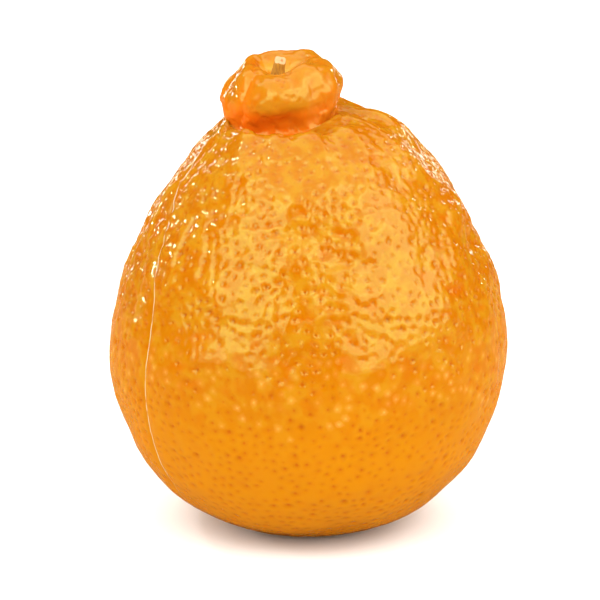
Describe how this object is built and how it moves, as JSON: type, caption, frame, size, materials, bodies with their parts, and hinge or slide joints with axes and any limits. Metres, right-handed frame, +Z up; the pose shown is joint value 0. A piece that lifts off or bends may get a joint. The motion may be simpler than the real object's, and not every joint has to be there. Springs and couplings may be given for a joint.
{
  "type": "knobbed tangelo fruit",
  "caption": "Ripe orange citrus fruit with pebbled rind, a fat folded knob at the stem end and the stub of its cut stem, standing on a small flat foot.",
  "frame": {"origin": "middle of the fruit's box at the level of the flat foot that it stands on", "axes": "+Z up from the foot to the stem, -Y towards the viewer of the picture, +X to the viewer's right"},
  "size_m": [0.0881, 0.0882, 0.1044],
  "materials": {
    "rind": "satin",
    "stem": "matte"
  },
  "bodies": {
    "root": {"fruit": "rind", "stem": "stem"}
  },
  "joints": []
}
